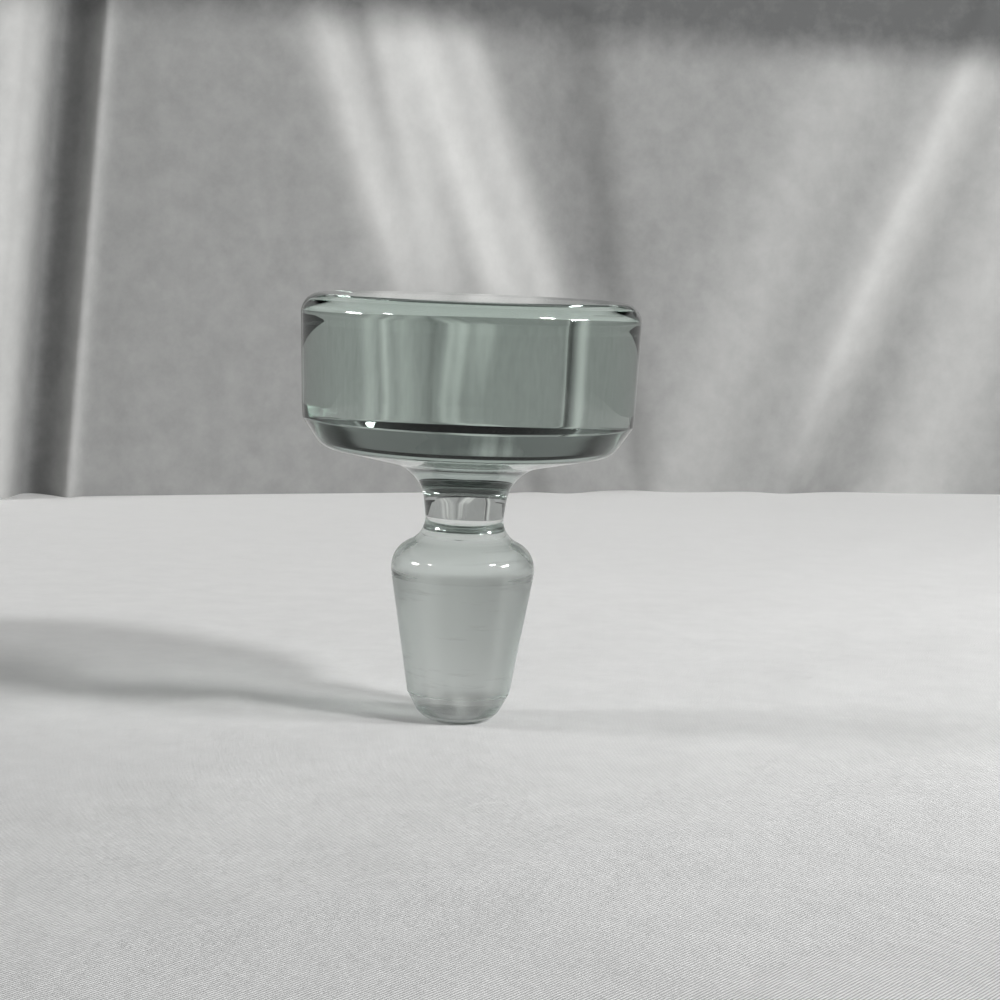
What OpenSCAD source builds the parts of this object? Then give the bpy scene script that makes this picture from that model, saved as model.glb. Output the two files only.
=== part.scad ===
// Glass stopper, pressed in one solid piece: a heavy puck-shaped head, a waisted neck
// and a ground conical plug.  It stands on the small end of the plug, +Z runs up the
// axis, and the origin is the middle of the standing face.  All lengths are in mm.
//
// The form is a half section turned about the axis.  Each break in the half section is
// placed as a sharp corner and then rounded, so the lengths below are measured between
// sharp corners and a rounding can be changed without moving anything else.

/* [Plug] */
// diameter at the sharp lower edge of the ground taper
plug_end_d = 20.4;        // [18.5:0.1:24]
// angle between the ground taper and the axis
taper_angle = 9.4;        // [5:0.1:12]
// height of the ground taper, from its lower edge to the shoulder corner
taper_h = 28.1;           // [24:0.1:36]
// height of the pressed end left below the ground taper
end_h = 5.5;              // [4.5:0.1:8]
// diameter of the corner round the standing face
foot_d = 14.4;            // [12.5:0.1:16]
// rounding of the corner round the standing face
foot_round = 4.4;         // [1:0.1:5.5]
// rounding of the shoulder above the ground taper
shoulder_round = 5.7;     // [3:0.1:6.4]

/* [Neck] */
// diameter of the corner where the neck leaves the shoulder
neck_root_d = 14.7;       // [12:0.1:17]
// height the shoulder climbs on its way in to the neck
shoulder_rise = 3.8;      // [3:0.1:7]
// height of the neck between the shoulder and the underside of the head
neck_h = 12.5;            // [11:0.1:20]
// diameter of the corner where the neck meets the head
neck_top_d = 17.9;        // [15:0.1:21]
// rounding between the shoulder and the neck
root_round = 5;           // [1:0.1:5.2]
// rounding between the neck and the underside of the head
flare_round = 8.6;        // [3:0.1:9.5]

/* [Head] */
// diameter of the head at its top edge, where it is widest
head_d = 67.3;            // [60:0.1:84]
// height of the upper wall, from the knee to the top
upper_wall_h = 21.5;      // [12:0.1:28]
// lean of the upper wall away from the axis on its way up
upper_wall_draft = 2.2;   // [0:0.1:3]
// height of the lower wall, from the bevel to the knee
lower_wall_h = 2.8;       // [2:0.1:10]
// lean of the lower wall away from the axis on its way up
lower_wall_draft = 4;     // [3:0.1:9]
// height of the bevel between the underside and the lower wall
bevel_h = 5.6;            // [4:0.1:7]
// angle between the bevel and the axis
bevel_angle = 34;         // [25:0.5:42]
// rise of the underside above level, going outward from the neck
underside_slope = 11.8;   // [5:0.1:20]
// rounding between the underside and the bevel
rim_round = 4.5;          // [1:0.1:5]
// rounding between the bevel and the lower wall
bevel_round = 1;          // [0.5:0.1:2]
// rounding of the knee between the lower and the upper wall
knee_round = 20;          // [8:1:25]
// rounding between the upper wall and the flat top
top_round = 3.9;          // [1:0.1:8]

/* [Hidden] */
// straight pieces used to draw a full turn of the round surfaces
$fn = 180;
// how far each sloping side is sunk into its roundings, so that the two always cross
lap = 0.0005;
// how far the sector of a rounding runs on past its two ends
overrun = 0.2;
// how far the wedge that cuts out such a sector reaches, in roundings from its point
reach = 1.5;

foot_r = foot_d / 2;
plug_end_r = plug_end_d / 2;
shoulder_r = plug_end_r + taper_h * tan(taper_angle);
neck_root_r = neck_root_d / 2;
neck_top_r = neck_top_d / 2;
head_r = head_d / 2;
knee_r = head_r - upper_wall_h * tan(upper_wall_draft);
bevel_r = knee_r - lower_wall_h * tan(lower_wall_draft);
rim_r = bevel_r - bevel_h * tan(bevel_angle);

shoulder_z = end_h + taper_h;
neck_root_z = shoulder_z + shoulder_rise;
neck_top_z = neck_root_z + neck_h;
rim_z = neck_top_z + (rim_r - neck_top_r) * tan(underside_slope);
bevel_z = rim_z + bevel_h;
knee_z = bevel_z + lower_wall_h;
top_z = knee_z + upper_wall_h;

// corners of the half section, from the standing face up to the top
corners = [
    [foot_r, 0],
    [plug_end_r, end_h],
    [shoulder_r, shoulder_z],
    [neck_root_r, neck_root_z],
    [neck_top_r, neck_top_z],
    [rim_r, rim_z],
    [bevel_r, bevel_z],
    [knee_r, knee_z],
    [head_r, top_z]
];

// rounding of each corner in turn; the lower edge of the ground taper is left sharp
roundings = [
    foot_round, 0, shoulder_round, root_round, flare_round, rim_round, bevel_round, knee_round, top_round
];

last = len(corners) - 1;

// colour of the glass: clear with a grey-green cast
glass_colour = [0.72, 0.80, 0.77, 0.55];

// corner i; the two that lie past the ends are on the axis
function corner(i) = i < 0 ? [0, 0] : i > last ? [0, top_z] : corners[i];

// direction, one long, of the straight side that arrives at corner i
function arriving(i) = (corner(i) - corner(i - 1)) / norm(corner(i) - corner(i - 1));

// direction, one long, of the straight side that leaves corner i
function leaving(i) = arriving(i + 1);

// angle the outline turns through at corner i, above zero where the corner is proud
function turn(i) =
    atan2(
        arriving(i)[0] * leaving(i)[1] - arriving(i)[1] * leaving(i)[0],
        arriving(i) * leaving(i)
    );

// distance from corner i to each end of its rounding
function setback(i) = roundings[i] * tan(abs(turn(i)) / 2);

// the two ends of the rounding of corner i, where it touches the straight sides
function arc_start(i) = corner(i) - setback(i) * arriving(i);
function arc_end(i) = corner(i) + setback(i) * leaving(i);

// middle of the rounding of corner i, square to the arriving side at the first end
function arc_middle(i) =
    arc_start(i) + sign(turn(i)) * roundings[i] * [-arriving(i)[1], arriving(i)[0]];

// an end of the rounding of corner i, moved toward the middle by the lap
function lapped(i, end) = end + lap * (arc_middle(i) - end) / roundings[i];

// ends of the straight sides at corner i; the two level faces are not lapped
function side_ends(i) =
    i < 0 || i > last || roundings[i] == 0
        ? [corner(i)]
        : [
            i == 0 ? arc_start(i) : lapped(i, arc_start(i)),
            i == last ? arc_end(i) : lapped(i, arc_end(i))
        ];

// a point near the rounding of corner i, carried outward clear of its disc
function beyond(i, point) = arc_middle(i) + reach * (point - arc_middle(i));

// disc sector that forms the rounding of corner i
module rounding_sector(i) {
    intersection() {
        translate(arc_middle(i))
            circle(r = roundings[i]);
        polygon([
            arc_middle(i),
            beyond(i, arc_start(i) - overrun * arriving(i)),
            beyond(i, corner(i)),
            beyond(i, arc_end(i) + overrun * leaving(i))
        ]);
    }
}

// sectors of the rounded corners that turn one way: 1 for proud, -1 for hollow
module rounding_sectors(way) {
    for (i = [0 : last])
        if (roundings[i] > 0 && sign(turn(i)) == way)
            rounding_sector(i);
}

// half section cut straight across each corner, then filled out to the arcs of the
// proud corners and dug back in to the arcs of the hollow ones
module rounded_half_section() {
    difference() {
        union() {
            polygon([for (i = [-1 : last + 1]) each side_ends(i)]);
            rounding_sectors(1);
        }
        rounding_sectors(-1);
    }
}

// the whole stopper, one solid piece of glass
module stopper() {
    color(glass_colour)
        rotate_extrude(angle = 360)
            rounded_half_section();
}

stopper();
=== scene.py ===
"""Glass stopper: its looks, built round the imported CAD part.

The stopper is one solid piece of pressed clear glass with a ground conical plug. It stands on the
small end of the plug on a pale cotton cloth, in front of a hanging sheet of the same cloth, between
two soft lamps. Lengths are written in millimetres and turned to metres where a mesh is filled.
"""
import logging
import math
from dataclasses import dataclass, field
from enum import Enum
from typing import Any

import bpy
import numpy as np
from mathutils import Matrix, Vector


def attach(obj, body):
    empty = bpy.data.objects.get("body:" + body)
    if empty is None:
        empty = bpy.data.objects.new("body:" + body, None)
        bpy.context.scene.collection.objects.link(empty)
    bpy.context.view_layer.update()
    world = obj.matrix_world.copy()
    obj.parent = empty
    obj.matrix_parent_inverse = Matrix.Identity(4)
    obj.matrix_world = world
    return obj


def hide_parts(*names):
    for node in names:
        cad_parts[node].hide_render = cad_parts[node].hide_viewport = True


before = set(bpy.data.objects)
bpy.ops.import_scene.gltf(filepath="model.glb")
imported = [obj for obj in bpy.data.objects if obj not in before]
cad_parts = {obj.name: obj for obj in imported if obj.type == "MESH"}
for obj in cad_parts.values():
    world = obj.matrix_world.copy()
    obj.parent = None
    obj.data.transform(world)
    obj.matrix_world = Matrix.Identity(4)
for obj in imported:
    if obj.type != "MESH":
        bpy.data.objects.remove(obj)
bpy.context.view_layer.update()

MM = 0.001
WAVE_PERIOD = math.pi / 10  # length of one wave of a wave texture at a scale of one
LOG = logging.getLogger("glass_stopper")


class Zone(Enum):
    """How a stretch of the outline was made; the value is written on the mesh as a weight."""

    PRESSED = 0.0
    WORN = 0.75
    GROUND = 1.0


class Side(Enum):
    """Side of the camera's line of sight that a lamp stands on."""

    LEFT = -1
    RIGHT = 1


# ---------------------------------------------------------------- small helpers


def linear(hex_colour: str, alpha: float = 1.0) -> tuple[float, float, float, float]:
    """Turn an sRGB hex colour to linear light.

    Args:
        hex_colour: six hex digits, with or without a leading #.
        alpha: value of the fourth channel.

    Returns:
        Linear red, green, blue and alpha.
    """
    digits = hex_colour.lstrip("#")
    coded = np.array([int(digits[i:i + 2], 16) for i in (0, 2, 4)]) / 255.0
    light = np.where(coded <= 0.04045, coded / 12.92, ((coded + 0.055) / 1.055) ** 2.4)
    return (float(light[0]), float(light[1]), float(light[2]), alpha)


def add_node(tree: bpy.types.NodeTree, kind: str, settings: dict[str, Any] | None = None,
             links: dict[Any, bpy.types.NodeSocket] | None = None) -> bpy.types.Node:
    """Add one shader node, set it up and link what flows into it.

    Args:
        tree: node tree that receives the node.
        kind: node type, such as ShaderNodeMapping.
        settings: values by input name or number, or by node property where no input has the name.
        links: output sockets by the name or number of the input that they feed.

    Returns:
        The new node.
    """
    node = tree.nodes.new(kind)
    for key, value in (settings or {}).items():
        if isinstance(key, int) or key in node.inputs:
            node.inputs[key].default_value = value
        else:
            setattr(node, key, value)
    for key, socket in (links or {}).items():
        tree.links.new(socket, node.inputs[key])
    return node


def empty_material(name: str) -> tuple[bpy.types.Material, bpy.types.NodeTree, bpy.types.Node]:
    """Make a material that holds only an output node.

    Args:
        name: name of the material.

    Returns:
        The material, its node tree and the output node.
    """
    material = bpy.data.materials.new(name)
    material.use_nodes = True
    tree = material.node_tree
    tree.nodes.clear()
    return material, tree, add_node(tree, "ShaderNodeOutputMaterial")


def mesh_object(name: str, points: np.ndarray, faces: np.ndarray,
                smooth: bool = True) -> bpy.types.Object:
    """Make an object at the origin from points in millimetres and faces of equal length.

    Args:
        name: name of the object and its mesh.
        points: point places, one row each.
        faces: point numbers, one row per face.
        smooth: whether the faces are shaded smooth.

    Returns:
        The new object, linked to the scene.
    """
    mesh = bpy.data.meshes.new(name)
    corners = faces.shape[1]
    mesh.vertices.add(len(points))
    mesh.vertices.foreach_set("co", (points * MM).astype(np.float32).ravel())
    mesh.loops.add(faces.size)
    mesh.loops.foreach_set("vertex_index", faces.astype(np.int32).ravel())
    mesh.polygons.add(len(faces))
    mesh.polygons.foreach_set("loop_start", np.arange(0, faces.size, corners, dtype=np.int32))
    mesh.polygons.foreach_set("use_smooth", np.full(len(faces), smooth))
    mesh.update(calc_edges=True)
    piece = bpy.data.objects.new(name, mesh)
    bpy.context.scene.collection.objects.link(piece)
    return piece


def ease(value: np.ndarray, start: float, end: float) -> np.ndarray:
    """Rise smoothly from 0 at the start to 1 at the end."""
    t = np.clip((value - start) / (end - start), 0.0, 1.0)
    return t * t * (3.0 - 2.0 * t)


def grade(degrees: float) -> float:
    """Rise for each unit of run of a slope."""
    return math.tan(math.radians(degrees))


def grid_faces(rows: int, columns: int, closed: bool) -> np.ndarray:
    """Number the faces of a grid of points stored row by row.

    Args:
        rows: number of rows.
        columns: points in a row.
        closed: whether the last column meets the first.

    Returns:
        Four point numbers per face; they run so that a face looks outward when rows climb the
        axis and columns go round it anticlockwise, seen from above.
    """
    spans = columns if closed else columns - 1
    row, column = np.meshgrid(np.arange(rows - 1), np.arange(spans), indexing="ij")
    here = row * columns + column
    beside = row * columns + (column + 1) % columns
    return np.stack([here, beside, beside + columns, here + columns], axis=-1).reshape(-1, 4)


# ---------------------------------------------------------------- finishes


@dataclass(frozen=True)
class PressedGlass:
    """Soda-lime glass, pressed in a mould and fire polished, with the plug ground to a taper.

    The fire-polished skin is smooth and glossy, and the thick head gathers the faint grey-green
    cast of ordinary glass. The ground taper is a fine satin that blurs what lies behind it, with
    thin rings round it from the grinding and rub marks from its bottle neck.
    """

    name: str = "pressed_clear_glass"
    ior: float = 1.52
    satin_roughness: float = 0.34
    absorption_colour: tuple[float, float, float, float] = (0.30, 0.52, 0.41, 1.0)
    absorption_density: float = 10.5
    rubbed_gain: float = 1.3
    ring_mm: float = 0.9
    ring_relief: float = 0.12
    ring_depth_mm: float = 0.02
    rub_mm: float = 5.0
    rub_from: float = 0.56
    rub_full: float = 0.72
    rub_shows: float = 0.3
    speck_mm: float = 11.0
    speck_core: float = 0.016
    speck_edge: float = 0.030
    speck_colour: str = "#3B3A34"

    def material(self) -> bpy.types.Material:
        """Build the node material.

        Returns:
            The finished material.
        """
        material, tree, output = empty_material(self.name)
        place = add_node(tree, "ShaderNodeTexCoord").outputs["Object"]
        ground = add_node(tree, "ShaderNodeAttribute", {"attribute_name": "ground"}).outputs["Fac"]
        # grinding rings: level bands, drawn coarser than the grit so that they show
        ring = add_node(tree, "ShaderNodeTexWave", {
            "bands_direction": "Z", "Scale": WAVE_PERIOD / (self.ring_mm * MM), "Distortion": 3.0,
            "Detail": 3.0, "Detail Scale": 0.4}, {"Vector": place}).outputs["Fac"]
        # rub marks: noise drawn out round the plug into broken level streaks
        flat = add_node(tree, "ShaderNodeMapping", {"Scale": (0.35, 0.35, 3.0)},
                        {"Vector": place}).outputs["Vector"]
        rub = add_node(tree, "ShaderNodeTexNoise", {
            "Scale": 1.0 / (self.rub_mm * MM), "Detail": 6.0, "Roughness": 0.7},
            {"Vector": flat}).outputs["Fac"]
        rubbed = add_node(tree, "ShaderNodeMapRange", {
            "From Min": self.rub_from, "From Max": self.rub_full}, {"Value": rub}).outputs["Result"]
        satin = add_node(tree, "ShaderNodeMapRange", {
            "To Min": self.satin_roughness,
            "To Max": self.satin_roughness * self.rubbed_gain},
            {"Value": rubbed}).outputs["Result"]
        rough = add_node(tree, "ShaderNodeMath", {"operation": "MULTIPLY"},
                         {0: satin, 1: ground}).outputs["Value"]
        # specks: a few dark seeds, one small dot in a cell of a coarse pattern
        cells = add_node(tree, "ShaderNodeTexVoronoi", {"Scale": 1.0 / (self.speck_mm * MM)},
                         {"Vector": place}).outputs["Distance"]
        speck = add_node(tree, "ShaderNodeMapRange", {
            "From Min": self.speck_core, "From Max": self.speck_edge, "To Min": 1.0,
            "To Max": 0.0}, {"Value": cells}).outputs["Result"]
        marks = add_node(tree, "ShaderNodeMath", {"operation": "MULTIPLY"},
                         {0: rubbed, 1: ground}).outputs["Value"]
        faint = add_node(tree, "ShaderNodeMath", {"operation": "MULTIPLY_ADD", 1: self.rub_shows},
                         {0: marks, 2: speck}).outputs["Value"]
        skin = add_node(tree, "ShaderNodeMixRGB", {"Color1": (1.0, 1.0, 1.0, 1.0),
                                                   "Color2": linear(self.speck_colour)},
                        {"Fac": faint}).outputs["Color"]
        height = add_node(tree, "ShaderNodeMath", {"operation": "MULTIPLY"},
                          {0: ring, 1: ground}).outputs["Value"]
        relief = add_node(tree, "ShaderNodeBump", {"Strength": self.ring_relief,
                                                   "Distance": self.ring_depth_mm * MM},
                          {"Height": height}).outputs["Normal"]
        glass = add_node(tree, "ShaderNodeBsdfPrincipled",
                         {"IOR": self.ior, "Transmission Weight": 1.0},
                         {"Base Color": skin, "Roughness": rough, "Normal": relief})
        body = add_node(tree, "ShaderNodeVolumeAbsorption", {"Color": self.absorption_colour,
                                                             "Density": self.absorption_density})
        tree.links.new(glass.outputs["BSDF"], output.inputs["Surface"])
        tree.links.new(body.outputs["Volume"], output.inputs["Volume"])
        return material


@dataclass(frozen=True)
class CottonCloth:
    """Bleached cotton, woven in a fine twill: matt, with a diagonal rib that shows close up.

    The rib is 0.57 mm from crest to crest and runs at a slant, and its crests are paler than its
    hollows. The point attribute "tone" holds painted light and shade: how far the cloth is drawn
    toward the paler colour where light or shade falls on it.
    """

    name: str
    hollow: str
    crest: str
    sheen: float = 0.15
    rib_shows: float = 1.0
    rib_contrast: float = 0.5
    rib_mm: float = 0.57
    rib_slant_deg: float = 35.0
    rib_depth_mm: float = 0.2
    slub_mm: float = 9.0
    slub_contrast: float = 0.05
    swell_mm: float = 70.0
    swell_depth_mm: float = 4.0

    def material(self) -> bpy.types.Material:
        """Build the node material.

        Returns:
            The finished material.
        """
        material, tree, output = empty_material(self.name)
        place = add_node(tree, "ShaderNodeTexCoord").outputs["Object"]
        # painted light and shade, read from the mesh's point attribute
        tone = add_node(tree, "ShaderNodeAttribute", {"attribute_name": "tone"}).outputs["Fac"]
        turn = (0.0, 0.0, math.radians(self.rib_slant_deg))
        slant = add_node(tree, "ShaderNodeMapping", {"Rotation": turn},
                         {"Vector": place}).outputs["Vector"]
        rib = add_node(tree, "ShaderNodeTexWave", {
            "wave_profile": "SIN", "Scale": WAVE_PERIOD / (self.rib_mm * MM), "Distortion": 2.0,
            "Detail": 2.0, "Detail Scale": 0.6, "Detail Roughness": 0.6},
            {"Vector": slant}).outputs["Fac"]
        slub = add_node(tree, "ShaderNodeTexNoise", {
            "Scale": 1.0 / (self.slub_mm * MM), "Detail": 5.0, "Roughness": 0.65},
            {"Vector": place}).outputs["Fac"]
        swell = add_node(tree, "ShaderNodeTexNoise", {
            "Scale": 1.0 / (self.swell_mm * MM), "Detail": 2.0}, {"Vector": place}).outputs["Fac"]
        mottle = add_node(tree, "ShaderNodeMapRange", {"From Min": 0.3, "From Max": 0.7,
                                                       "To Min": -self.slub_contrast,
                                                       "To Max": self.slub_contrast},
                          {"Value": slub}).outputs["Result"]
        ribbed = add_node(tree, "ShaderNodeMath", {
            "operation": "MULTIPLY_ADD", 1: self.rib_contrast * self.rib_shows},
            {0: rib, 2: mottle}).outputs["Value"]
        # the rib and slub, plus the painted light and shade
        rib_slub_and_painted_shading = add_node(tree, "ShaderNodeMath", {"operation": "ADD", "use_clamp": True},
                          {0: tone, 1: ribbed}).outputs["Value"]
        tint = add_node(tree, "ShaderNodeMixRGB",
                        {"Color1": linear(self.hollow), "Color2": linear(self.crest)},
                        {"Fac": rib_slub_and_painted_shading}).outputs["Color"]
        soft = add_node(tree, "ShaderNodeBump", {"Strength": 0.5,
                                                 "Distance": self.swell_depth_mm * MM},
                        {"Height": swell}).outputs["Normal"]
        fine = add_node(tree, "ShaderNodeBump", {"Strength": 0.8 * self.rib_shows,
                                                 "Distance": self.rib_depth_mm * MM},
                        {"Height": rib, "Normal": soft}).outputs["Normal"]
        cloth = add_node(tree, "ShaderNodeBsdfPrincipled",
                         {"Roughness": 0.9, "Sheen Weight": self.sheen},
                         {"Base Color": tint, "Normal": fine})
        tree.links.new(cloth.outputs["BSDF"], output.inputs["Surface"])
        return material


# ---------------------------------------------------------------- the stopper


@dataclass(frozen=True)
class Corner:
    """A break in the half section, as a sharp corner with the rounding put on it.

    The straight side above it and its own rounding each have a way they were made.
    """

    radius: float
    height: float
    rounding: float
    side_above: Zone = Zone.PRESSED
    skin: Zone = Zone.PRESSED


@dataclass
class StopperForm:
    """The whole stopper: a puck-shaped head, a waisted neck and a ground plug, in one piece.

    The sizes are the CAD part's. A sharp corner gets the least rounding, so that it catches light,
    and the whole is drawn a hair small (snug) to stay inside the CAD part's box.
    """

    plug_end_d: float = 20.4
    taper_angle: float = 9.4
    taper_h: float = 28.1
    end_h: float = 5.5
    foot_d: float = 14.4
    foot_round: float = 4.4
    shoulder_round: float = 5.7
    neck_root_d: float = 14.7
    shoulder_rise: float = 3.8
    neck_h: float = 12.5
    neck_top_d: float = 17.9
    root_round: float = 5.0
    flare_round: float = 8.6
    head_d: float = 67.3
    upper_wall_h: float = 21.5
    upper_wall_draft: float = 2.2
    lower_wall_h: float = 2.8
    lower_wall_draft: float = 4.0
    bevel_h: float = 5.6
    bevel_angle: float = 34.0
    underside_slope: float = 11.8
    rim_round: float = 4.5
    bevel_round: float = 1.0
    knee_round: float = 20.0
    top_round: float = 3.9
    around: int = 256
    least_round: float = 0.06
    snug: float = 0.9995
    arc_step_deg: float = 1.8
    side_step: float = 1.0
    finish: PressedGlass = field(default_factory=PressedGlass)

    def corners(self) -> list[Corner]:
        """List the corners, worked out from the same lengths as the CAD part.

        Returns:
            The corners in order, from the standing face up.
        """
        shoulder_r = self.plug_end_d / 2 + self.taper_h * grade(self.taper_angle)
        shoulder_z = self.end_h + self.taper_h
        root_z = shoulder_z + self.shoulder_rise
        neck_z = root_z + self.neck_h
        knee_r = self.head_d / 2 - self.upper_wall_h * grade(self.upper_wall_draft)
        bevel_r = knee_r - self.lower_wall_h * grade(self.lower_wall_draft)
        rim_r = bevel_r - self.bevel_h * grade(self.bevel_angle)
        rim_z = neck_z + (rim_r - self.neck_top_d / 2) * grade(self.underside_slope)
        bevel_z = rim_z + self.bevel_h
        knee_z = bevel_z + self.lower_wall_h
        return [
            Corner(self.foot_d / 2, 0.0, self.foot_round, Zone.WORN, Zone.WORN),
            Corner(self.plug_end_d / 2, self.end_h, 0.0, Zone.GROUND, Zone.WORN),
            Corner(shoulder_r, shoulder_z, self.shoulder_round),
            Corner(self.neck_root_d / 2, root_z, self.root_round),
            Corner(self.neck_top_d / 2, neck_z, self.flare_round),
            Corner(rim_r, rim_z, self.rim_round),
            Corner(bevel_r, bevel_z, self.bevel_round),
            Corner(knee_r, knee_z, self.knee_round),
            Corner(self.head_d / 2, knee_z + self.upper_wall_h, self.top_round),
        ]

    def section(self) -> tuple[np.ndarray, np.ndarray]:
        """Work out the half section, from the axis at the foot to the axis at the top.

        Each corner becomes an arc that touches both sides: it starts a set-back of rounding x
        tan(half the turn) before the corner, about a middle one rounding to the side of the turn.
        Straight sides are filled with even steps.

        Returns:
            Radius and height of each point, one row each, and the ground weight of each point.
        """
        corners = self.corners()
        breaks = [(corner.radius, corner.height) for corner in corners]
        places = np.array([(0.0, 0.0), *breaks, (0.0, corners[-1].height)])
        along = np.diff(places, axis=0)
        along /= np.linalg.norm(along, axis=1, keepdims=True)
        line = [places[:1]]
        weight = [np.zeros(1)]
        for i, corner in enumerate(corners):
            arrive, leave = along[i], along[i + 1]
            turn = math.atan2(arrive[0] * leave[1] - arrive[1] * leave[0], float(arrive @ leave))
            rounding = max(corner.rounding, self.least_round)
            setback = rounding * math.tan(abs(turn) / 2)
            start = places[i + 1] - setback * arrive
            side = math.copysign(1.0, turn)
            middle = start + side * rounding * np.array([-arrive[1], arrive[0]])
            count = 2 + int(math.degrees(abs(turn)) / self.arc_step_deg)
            swing = np.linspace(0.0, turn, count)[:, None]
            spoke = start - middle
            across = np.array([-spoke[1], spoke[0]])
            arc = middle + np.cos(swing) * spoke + np.sin(swing) * across
            last = line[-1][-1]
            steps = max(2, 1 + int(np.linalg.norm(arc[0] - last) / self.side_step))
            side_points = last + (arc[0] - last) * np.linspace(0.0, 1.0, steps)[1:-1, None]
            ground = corners[i - 1].side_above.value if i else Zone.PRESSED.value
            line += [side_points, arc]
            weight += [np.full(len(side_points), ground), np.full(len(arc), corner.skin.value)]
        last = line[-1][-1]
        steps = max(2, 1 + int(last[0] / self.side_step))
        line.append(last + (places[-1] - last) * np.linspace(0.0, 1.0, steps)[1:, None])
        weight.append(np.zeros(steps - 1))
        return np.vstack(line), np.concatenate(weight)

    def build(self) -> bpy.types.Object:
        """Turn the section about the axis: a point goes to (r cos a, r sin a, z) at each angle a.

        Returns:
            The closed stopper, with one point at each pole.
        """
        section, ground = self.section()
        section = section * self.snug
        rings = section[1:-1]
        angle = np.arange(self.around) * 2 * np.pi / self.around
        x = rings[:, :1] * np.cos(angle)
        y = rings[:, :1] * np.sin(angle)
        z = np.broadcast_to(rings[:, 1:], x.shape)
        points = np.stack([x, y, z], axis=-1).reshape(-1, 3)
        foot, top = len(points), len(points) + 1
        points = np.vstack([points, [0.0, 0.0, section[0, 1]], [0.0, 0.0, section[-1, 1]]])
        quads = grid_faces(len(rings), self.around, closed=True)
        piece = mesh_object("stopper_body", points, quads)
        here = np.arange(self.around)
        beside = (here + 1) % self.around
        upper = (len(rings) - 1) * self.around
        fans = np.vstack([np.stack([np.full_like(here, foot), beside, here], axis=-1),
                          np.stack([np.full_like(here, top), here + upper, beside + upper], axis=-1)])
        weight = np.concatenate([np.repeat(ground[1:-1], self.around), [0.0, 0.0]])
        return self.with_fans(piece, fans, weight)

    def with_fans(self, piece: bpy.types.Object, fans: np.ndarray,
                  ground: np.ndarray) -> bpy.types.Object:
        """Close both poles with triangles and write the ground weight on the points.

        Args:
            piece: the open surface.
            fans: three point numbers per face.
            ground: weight of each point.

        Returns:
            The same object, closed.
        """
        mesh = piece.data
        loops, polygons = len(mesh.loops), len(mesh.polygons)
        mesh.loops.add(fans.size)
        index = np.empty(len(mesh.loops), np.int32)
        mesh.loops.foreach_get("vertex_index", index)
        index[loops:] = fans.ravel()
        mesh.loops.foreach_set("vertex_index", index)
        mesh.polygons.add(len(fans))
        starts = np.concatenate([np.arange(0, loops, 4), loops + np.arange(0, fans.size, 3)])
        mesh.polygons.foreach_set("loop_start", starts.astype(np.int32))
        mesh.polygons.foreach_set("use_smooth", np.ones(polygons + len(fans), bool))
        mesh.update(calc_edges=True)
        mesh.validate()
        layer = mesh.attributes.new("ground", "FLOAT", "POINT")
        layer.data.foreach_set("value", ground.astype(np.float32))
        return piece

    def dress(self, piece: bpy.types.Object) -> None:
        """Give the piece its glass and put it in the CAD node's place.

        Args:
            piece: the closed stopper.
        """
        piece.data.materials.append(self.finish.material())
        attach(piece, "root")
        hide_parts("stopper")


# ---------------------------------------------------------------- stage, lamps and camera


@dataclass(frozen=True)
class Fold:
    """A soft ridge that runs up the hung sheet; a hollow has a depth below zero.

    It stands at a bearing in degrees, 0 being straight behind. Its tone, painted light above zero
    and painted shade below zero, fades in between two heights.
    """

    place: float
    lean: float
    width: float
    depth: float
    tone: float
    faded_z: float = -2.0
    full_z: float = -1.0


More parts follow.
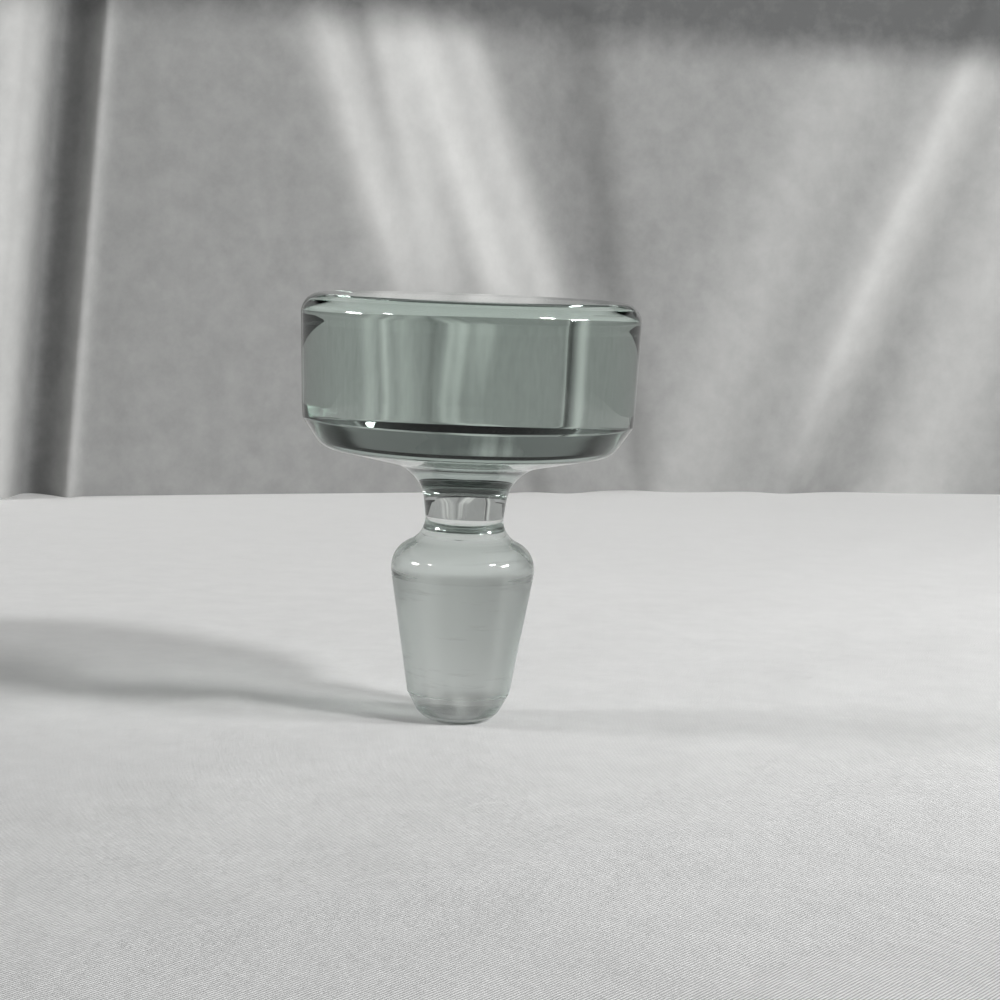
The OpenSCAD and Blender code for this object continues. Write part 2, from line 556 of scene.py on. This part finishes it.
@dataclass
class Stage:
    """A pale cloth laid flat, and a sheet of it hung in a bow round the back."""

    reach: float = 1600.0
    drop: float = 0.1
    near_y: float = -160.0
    far_y: float = 360.0
    # painted light on the floor: drawn darker near the camera and paler toward the back
    near_painted_light: float = -0.08
    far_painted_light: float = 0.85
    sheet_y: float = 430.0
    sheet_turn_deg: float = 25.0
    bow_radius: float = 600.0
    opening_deg: float = 62.0
    eye_z: float = 60.0
    head_r: float = 33.0
    top_deg: float = 15.2
    least_top_z: float = 176.0
    side_top_z: float = 89.0
    side_from_deg: float = 31.0
    side_by_deg: float = 37.0
    fold_step_deg: float = 0.2
    fold_rows: int = 64
    # heights between which painted shade darkens the sheet toward its top
    painted_shade_from_z: float = 160.0
    painted_shade_full_z: float = 182.0
    plain_tone: float = 0.30
    # each fold's fifth value paints light on the sheet above zero and shade below zero
    folds: tuple[Fold, ...] = (
        Fold(-24.5, 0.01, 1.9, 8.0, 0.42),
        Fold(-21.8, 0.01, 1.2, -12.0, -0.22),
        Fold(-20.1, 0.01, 0.5, 5.0, 0.26),
        Fold(-4.6, -0.05, 1.3, 6.0, 0.45, 40.0, 105.0),
        Fold(-2.4, -0.04, 1.1, 5.0, 0.40, 40.0, 105.0),
        Fold(0.2, -0.05, 1.3, 8.0, 0.55, 0.0, 105.0),
        Fold(2.4, -0.05, 1.0, 3.0, 0.40, -10.0, 90.0),
        Fold(5.6, -0.02, 1.6, -8.0, -0.10, 60.0, 90.0),
        Fold(14.6, 0.04, 2.4, 5.0, 0.18),
        Fold(19.2, 0.04, 1.2, 9.0, 0.40, -20.0, 80.0),
        Fold(23.5, 0.03, 2.2, 4.0, 0.26),
    )
    # the sheet hangs too far off for its rib to show, so the rib is left out there
    floor_finish: CottonCloth = CottonCloth("bleached_cotton_floor", "#7E7F7E", "#F2F2F0",
                                            sheen=0.6)
    # the sheet's colours are the dark and pale ends of its painted shade and light
    sheet_finish: CottonCloth = CottonCloth("bleached_cotton_sheet", "#636464", "#E2E2E0",
                                            rib_shows=0.0)

    def build_floor(self) -> bpy.types.Object:
        """Lay the flat cloth just under the foot, paler toward the back.

        Returns:
            The floor cloth.
        """
        y, x = np.meshgrid([-self.reach, self.near_y, self.far_y, self.reach],
                           [-self.reach, self.reach], indexing="ij")
        points = np.stack([x, y, np.full(x.shape, -self.drop)], axis=-1).reshape(-1, 3)
        floor = mesh_object("floor_cloth", points, grid_faces(*x.shape, closed=False))
        # painted light: the cloth is drawn a little darker near the camera and paler toward the back
        tone = np.interp(y.ravel(), [self.near_y, self.far_y], [self.near_painted_light, self.far_painted_light])
        layer = floor.data.attributes.new("tone", "FLOAT", "POINT")
        layer.data.foreach_set("value", tone.astype(np.float32))
        floor.data.materials.append(self.floor_finish.material())
        return floor

    def bow(self, bearing_deg: np.ndarray) -> np.ndarray:
        """Work out how far the sheet hangs from the axis.

        A turned plane and a round wall are blended by adding their inverse sixth powers.

        Args:
            bearing_deg: bearings in degrees, 0 being straight behind.

        Returns:
            The distance at each bearing.
        """
        angle = np.radians(bearing_deg)
        turn = math.radians(self.sheet_turn_deg)
        facing = np.maximum(np.cos(angle) * math.cos(turn) - np.sin(angle) * math.sin(turn), 1e-3)
        plane = self.sheet_y * math.cos(turn) / facing
        return (plane ** -6 + self.bow_radius ** -6) ** (-1 / 6)

    def top(self, bearing_deg: np.ndarray, distance: np.ndarray) -> np.ndarray:
        """Work out the sheet's upper edge: a set rise seen from the head, dropping at the sides.

        Args:
            bearing_deg: bearings in degrees, 0 being straight behind.
            distance: distance of the sheet at each bearing.

        Returns:
            The height of the edge at each bearing.
        """
        behind = self.eye_z + (distance + self.head_r) * math.tan(math.radians(self.top_deg))
        behind = np.maximum(behind, self.least_top_z)
        aside = ease(np.abs(bearing_deg), self.side_from_deg, self.side_by_deg)
        return behind + (self.side_top_z - behind) * aside

    def build_sheet(self) -> bpy.types.Object:
        """Hang the sheet in its bow: its depth and tone are sums of bell-shaped ridges.

        Painted shade darkens the tone toward the top, near the height where the sheet ends behind
        the stopper.

        Returns:
            The hung sheet.
        """
        edge = 180.0 - self.opening_deg
        bearing = np.arange(-edge, edge, self.fold_step_deg)
        distance = self.bow(bearing)
        share = np.linspace(0.0, 1.0, self.fold_rows)[:, None]
        z = -self.drop + (self.top(bearing, distance) + self.drop) * share
        u = np.broadcast_to(bearing, z.shape)
        r = np.broadcast_to(distance, z.shape).copy()
        tone = np.full(z.shape, self.plain_tone)
        # painted light and shade along the folds, with the dark gap painted as shadow
        for fold in self.folds:
            bell = np.exp(-((u - fold.place - fold.lean * (z - 100.0)) / fold.width) ** 2)
            r -= fold.depth * bell
            tone += fold.tone * bell * ease(z, fold.faded_z, fold.full_z)
        # painted shade toward the top of the sheet
        tone *= 1.0 - ease(z, self.painted_shade_from_z, self.painted_shade_full_z)
        points = np.stack([r * np.sin(np.radians(u)), r * np.cos(np.radians(u)), z],
                          axis=-1).reshape(-1, 3)
        sheet = mesh_object("hung_sheet", points,
                            grid_faces(self.fold_rows, len(bearing), closed=False))
        layer = sheet.data.attributes.new("tone", "FLOAT", "POINT")
        layer.data.foreach_set("value", np.clip(tone, 0.0, 1.0).astype(np.float32).ravel())
        sheet.data.materials.append(self.sheet_finish.material())
        return sheet


@dataclass
class SoftLamp:
    """A small soft box: a flat rectangle of light that faces the stopper."""

    name: str
    side: Side
    azimuth_deg: float
    elevation_deg: float
    distance: float
    width: float
    height: float
    watts: float
    aim_z: float = 60.0
    colour: str = "#FFFFFF"

    def build(self) -> bpy.types.Object:
        """Place the lamp on its bearing: 0 is on the camera's side, and it grows to either side.

        Returns:
            The lamp, turned to face its aim.
        """
        data = bpy.data.lights.new(self.name, "AREA")
        data.shape = "RECTANGLE"
        data.size = self.width * MM
        data.size_y = self.height * MM
        data.energy = self.watts
        data.color = linear(self.colour)[:3]
        lamp = bpy.data.objects.new(data.name, data)
        bpy.context.scene.collection.objects.link(lamp)
        azimuth = math.radians(self.azimuth_deg) * self.side.value
        elevation = math.radians(self.elevation_deg)
        bearing = Vector((math.sin(azimuth) * math.cos(elevation),
                          -math.cos(azimuth) * math.cos(elevation),
                          math.sin(elevation)))
        aim = Vector((0.0, 0.0, self.aim_z * MM))
        lamp.matrix_world = (Matrix.Translation(aim + bearing * self.distance * MM)
                             @ bearing.to_track_quat("Z", "Y").to_matrix().to_4x4())
        lamp.visible_camera = False
        return lamp


@dataclass
class ViewCamera:
    """A hand-held view from a little above the head, rolled slightly to one side."""

    distance: float = 472.4
    height: float = 96.6
    pitch_deg: float = 6.3337
    yaw_deg: float = 0.8373
    roll_deg: float = 2.1845
    focal_mm: float = 86.4
    sensor_mm: float = 36.0

    def build(self) -> bpy.types.Object:
        """Place the camera: it looks along +Y, down by the pitch, and is turned about its own axis.

        Returns:
            The camera, set as the scene's own.
        """
        pitch, yaw, roll = (math.radians(a) for a in (self.pitch_deg, self.yaw_deg, self.roll_deg))
        ahead = Vector((math.sin(yaw) * math.cos(pitch), math.cos(yaw) * math.cos(pitch),
                        -math.sin(pitch)))
        level = Vector((math.cos(yaw), -math.sin(yaw), 0.0))
        above = level.cross(ahead)
        right = level * math.cos(roll) + above * math.sin(roll)
        up = above * math.cos(roll) - level * math.sin(roll)
        data = bpy.data.cameras.new("view_camera")
        data.lens = self.focal_mm
        data.sensor_width = self.sensor_mm
        camera = bpy.data.objects.new("view_camera", data)
        bpy.context.scene.collection.objects.link(camera)
        turned = Matrix((right, up, -ahead)).transposed().to_4x4()
        camera.matrix_world = Matrix.Translation(
            Vector((0.0, -self.distance, self.height)) * MM) @ turned
        bpy.context.scene.camera = camera
        return camera


@dataclass
class Room:
    """The studio round the stage, as a light from each direction.

    It is pale behind and dim on the camera's side, with a dark ceiling. A dark beam lies above the
    sheet, rising to either side, and the room is dark low down beyond the ends of the sheet. The
    glow grows along a tilted axis, from its front value to its rear one.
    """

    front_light: float = 0.03
    rear_light: float = 0.45
    beam_from_deg: float = 16.6
    beam_to_deg: float = 26.5
    beam_lift: float = 0.12
    beam_dark: float = 0.995
    hem_from_deg: float = 14.0
    hem_dark: float = 0.62
    side_from_deg: float = 33.0
    side_to_deg: float = 100.0
    side_top_deg: float = 9.0
    side_dark: float = 0.92
    soft_deg: float = 0.7
    ceiling_deg: float = 44.0
    ceiling_soft_deg: float = 7.0
    ceiling_dark: float = 0.88
    glow_behind: float = 0.6
    glow_above: float = 0.8
    glow_from: float = -0.35
    glow_full: float = 0.85

    def build(self) -> None:
        """Make the world: its strength is the glow times smooth steps of bearing and elevation."""
        world = bpy.data.worlds.new("pale_room")
        bpy.context.scene.world = world
        world.use_nodes = True
        tree = world.node_tree
        way = add_node(tree, "ShaderNodeTexCoord").outputs["Generated"]
        axes = add_node(tree, "ShaderNodeSeparateXYZ", links={"Vector": way}).outputs

        def math_node(kind: str, first: Any, second: Any = 0.0,
                      third: Any = 0.0) -> bpy.types.NodeSocket:
            """Add one sum.

            Args:
                kind: operation of the math node.
                first: first term, a number or a socket.
                second: second term, a number or a socket.
                third: third term, a number or a socket.

            Returns:
                The socket that gives the sum.
            """
            terms = dict(enumerate((first, second, third)))
            sockets = {i: t for i, t in terms.items() if isinstance(t, bpy.types.NodeSocket)}
            numbers = {i: t for i, t in terms.items() if i not in sockets}
            return add_node(tree, "ShaderNodeMath", {"operation": kind, **numbers},
                            sockets).outputs["Value"]

        def step(value: Any, at_deg: float,
                 soft_deg: float = self.soft_deg) -> bpy.types.NodeSocket:
            """Add a smooth step from 0 to 1 about an angle.

            Args:
                value: angle in radians that steps.
                at_deg: middle of the step.
                soft_deg: half its width.

            Returns:
                The socket that gives the step.
            """
            low, high = math.radians(at_deg - soft_deg), math.radians(at_deg + soft_deg)
            return add_node(tree, "ShaderNodeMapRange", {
                "interpolation_type": "SMOOTHSTEP", "From Min": low,
                "From Max": high}, {"Value": value}).outputs["Result"]

        height = math_node("ARCSINE", axes["Z"])
        aside = math_node("ABSOLUTE", math_node("ARCTAN2", axes["X"], axes["Y"]))
        lifted = math_node("MULTIPLY_ADD", aside, -self.beam_lift, height)
        behind = math_node("SUBTRACT", 1.0, step(aside, self.side_to_deg))
        beam = math_node("SUBTRACT", step(lifted, self.beam_from_deg),
                         step(lifted, self.beam_to_deg))
        hem = math_node("SUBTRACT", step(lifted, self.hem_from_deg),
                        step(lifted, self.beam_from_deg))
        low = math_node("MULTIPLY", step(aside, self.side_from_deg),
                        math_node("SUBTRACT", 1.0, step(height, self.side_top_deg)))
        shade = math_node("MULTIPLY", beam, self.beam_dark)
        shade = math_node("MULTIPLY_ADD", hem, self.hem_dark, shade)
        shade = math_node("MAXIMUM", shade, math_node("MULTIPLY", low, self.side_dark))
        overhead = step(height, self.ceiling_deg, self.ceiling_soft_deg)
        ceiling = math_node("MULTIPLY", overhead, self.ceiling_dark)
        shade = math_node("MAXIMUM", math_node("MULTIPLY", shade, behind), ceiling)
        open_sky = math_node("SUBTRACT", 1.0, shade)
        above = math_node("MULTIPLY", axes["Z"], self.glow_above)
        rear = math_node("MULTIPLY_ADD", axes["Y"], self.glow_behind, above)
        glow = add_node(tree, "ShaderNodeMapRange", {
            "From Min": self.glow_from, "From Max": self.glow_full, "To Min": self.front_light,
            "To Max": self.rear_light}, {"Value": rear}).outputs["Result"]
        tree.links.new(math_node("MULTIPLY", glow, open_sky),
                       tree.nodes["Background"].inputs["Strength"])
        tree.nodes["Background"].inputs["Color"].default_value = (1.0, 1.0, 1.0, 1.0)
        bpy.context.scene.view_settings.view_transform = "Standard"


def main() -> None:
    """Build the camera, the stopper, the stage and the lamps, and report each piece."""
    logging.basicConfig(level=logging.INFO, format="%(name)s: %(message)s")
    ViewCamera().build()
    form = StopperForm()
    stopper = form.build()
    form.dress(stopper)
    LOG.info("%s: %d faces", stopper.name, len(stopper.data.polygons))
    stage = Stage()
    for piece in (stage.build_floor(), stage.build_sheet()):
        LOG.info("%s: stage", piece.name)
    Room().build()
    lamps = (
        SoftLamp("lamp_right_low", Side.RIGHT, 79.0, 25.0, 850.0, 200.0, 65.0, 4.2),
        SoftLamp("lamp_right_high", Side.RIGHT, 57.0, 36.0, 850.0, 130.0, 50.0, 4.4),
        SoftLamp("lamp_left_low", Side.LEFT, 86.0, 18.0, 850.0, 200.0, 65.0, 4.6),
        SoftLamp("lamp_left_high", Side.LEFT, 60.0, 27.0, 850.0, 90.0, 40.0, 0.5),
    )
    for lamp in lamps:
        LOG.info("%s", lamp.build().name)


if __name__ == "__main__":
    main()
